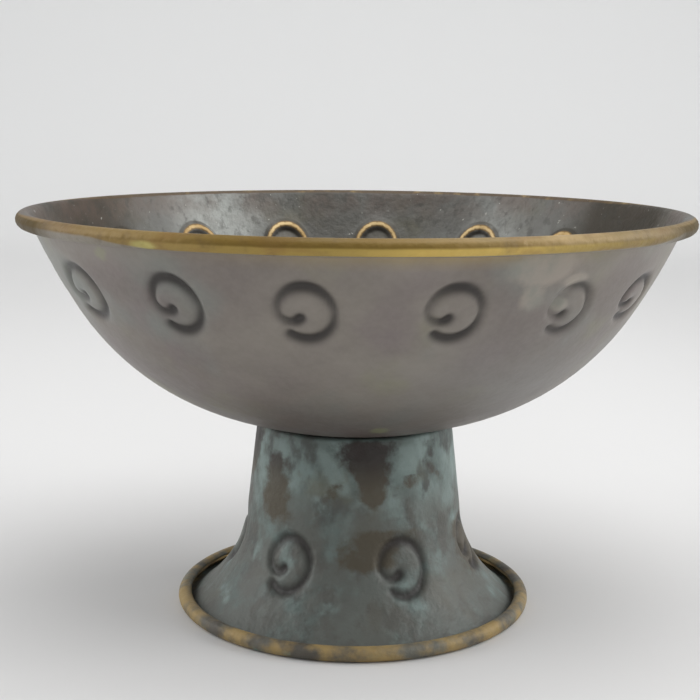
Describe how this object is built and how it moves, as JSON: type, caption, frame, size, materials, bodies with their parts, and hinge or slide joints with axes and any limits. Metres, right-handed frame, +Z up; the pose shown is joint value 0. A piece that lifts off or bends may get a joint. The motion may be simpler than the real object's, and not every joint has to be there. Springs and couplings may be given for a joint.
{
  "type": "pedestal bowl",
  "caption": "Open round metal bowl on a hollow flaring pedestal, with a wired rolled rim and a ring of chased spirals around its wall.",
  "frame": {"origin": "centre of the foot, on the surface that the bowl stands on", "axes": "+Z up along the axis of the bowl and the pedestal; -Y towards the viewer of the picture"},
  "size_m": [0.2298, 0.2298, 0.1404],
  "materials": {
    "bowl_patina": "dull grey-brown patina over brass",
    "rim_brass": "rubbed yellow brass",
    "pedestal_verdigris": "matte teal-grey verdigris over brass",
    "foot_brass": "rubbed yellow brass",
    "solder": "dull grey soft solder"
  },
  "bodies": {
    "root": {"bowl_shell": "bowl_patina", "rim_wire": "rim_brass", "pedestal": "pedestal_verdigris", "foot_wire": "foot_brass", "joint_solder": "solder"}
  },
  "joints": []
}
